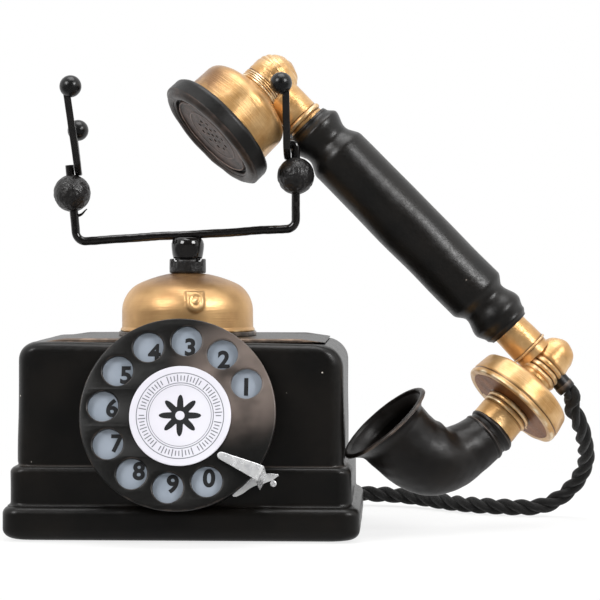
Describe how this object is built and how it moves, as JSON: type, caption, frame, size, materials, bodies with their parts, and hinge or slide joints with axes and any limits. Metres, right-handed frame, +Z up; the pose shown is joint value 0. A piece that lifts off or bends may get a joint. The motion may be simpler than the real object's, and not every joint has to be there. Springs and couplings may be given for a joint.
{
  "type": "antique telephone",
  "caption": "Table telephone: stepped case, tilted rotary dial, domed gong, sprung cradle with two forks, and a lift-off handset with a bent horn on a twisted cord.",
  "frame": {"origin": "centre of the felt under the foot, on the table", "axes": "+Z up, the dial faces -Y, +X to the dial's right as seen from the front"},
  "size_m": [0.2797, 0.1811, 0.2279],
  "materials": {
    "felt": "matte",
    "black_enamel": "satin, rubbed",
    "number_enamel": "gloss",
    "card": "gloss",
    "steel": "satin",
    "gong_brass": "lacquered",
    "gilt": "gilt, rubbed",
    "works_brass": "satin",
    "bakelite": "moulded",
    "winding": "varnished",
    "tin": "satin",
    "ebonised_wood": "satin",
    "ebonite": "satin",
    "cord": "twisted"
  },
  "bodies": {
    "base": {"felt_pad": "felt", "foot_base": "black_enamel", "housing": "black_enamel", "top_plate": "black_enamel", "case_screws": "steel", "dial_case": "black_enamel", "number_plate": "number_enamel", "dial_frame": "steel", "finger_stop": "steel", "stop_screw": "steel", "bell_seat": "black_enamel", "gong": "gong_brass", "crown_nut": "black_enamel", "guide_tube": "steel", "cord_gland": "ebonite", "cord": "cord", "ringer_frame": "steel", "ringer_coils": "winding", "switch_bracket": "steel", "hook_spring": "steel", "switch_block": "bakelite", "switch_leaves": "works_brass", "terminal_block": "bakelite", "terminal_screws": "works_brass", "induction_coil": "winding", "capacitor": "tin", "pulse_contacts": "bakelite"},
    "dial": {"finger_wheel": "black_enamel", "dial_card": "card", "dial_shaft": "steel", "main_gear": "works_brass", "spring_drum": "steel", "pulse_cam": "bakelite"},
    "governor": {"governor": "works_brass"},
    "clapper": {"clapper": "steel"},
    "cradle": {"plunger": "steel", "plunger_knob": "black_enamel", "plunger_collar": "steel", "cradle_wire": "black_enamel", "bead_left": "black_enamel", "bead_right": "black_enamel", "fork_left": "black_enamel", "fork_right": "black_enamel", "tips_left": "black_enamel", "tips_right": "black_enamel"},
    "handset": {"grip": "ebonised_wood", "tie_rod": "steel", "ear_neck": "gilt", "ear_knob": "gilt", "receiver_can": "gilt", "ear_cap": "ebonite", "ear_plate": "bakelite", "receiver_capsule": "tin", "mouth_neck": "gilt", "mouth_knob": "gilt", "transmitter_disc": "gilt", "transmitter_capsule": "tin", "horn_neck": "gilt", "mouth_horn": "ebonite", "cord_bush": "ebonite"}
  },
  "joints": [
    {"name": "dial_turn", "type": "hinge", "parent": "base", "child": "dial", "pos_m": [0, -0.065, 0.0598], "axis": [0, 0.9553, -0.2957], "range_deg": [0, 325], "stiffness_Nm_per_rad": 0.01, "springref_deg": -28.65},
    {"name": "governor_spin", "type": "hinge", "parent": "base", "child": "governor", "pos_m": [-0.02015, -0.04589, 0.05389], "axis": [0, 0.9553, -0.2957], "range_deg": [-1300, 0]},
    {"name": "hammer_swing", "type": "hinge", "parent": "base", "child": "clapper", "pos_m": [-0.0012, 0.02, 0.071], "axis": [0, 1, 0], "range_deg": [-4, 4], "stiffness_Nm_per_rad": 0.02},
    {"name": "cradle_press", "type": "slide", "parent": "base", "child": "cradle", "axis": [0, 0, 1], "range_m": [-0.003, 0], "stiffness_N_per_m": 500, "springref_m": 0.005, "deforming": ["hook_spring"]},
    {"name": "handset_lift", "type": "slide", "parent": "base", "child": "handset", "axis": [0, 0, 1], "range_m": [0, 0.08]}
  ],
  "couplings": [
    {"joint": "governor_spin", "follows": "dial_turn", "ratio": -4}
  ]
}
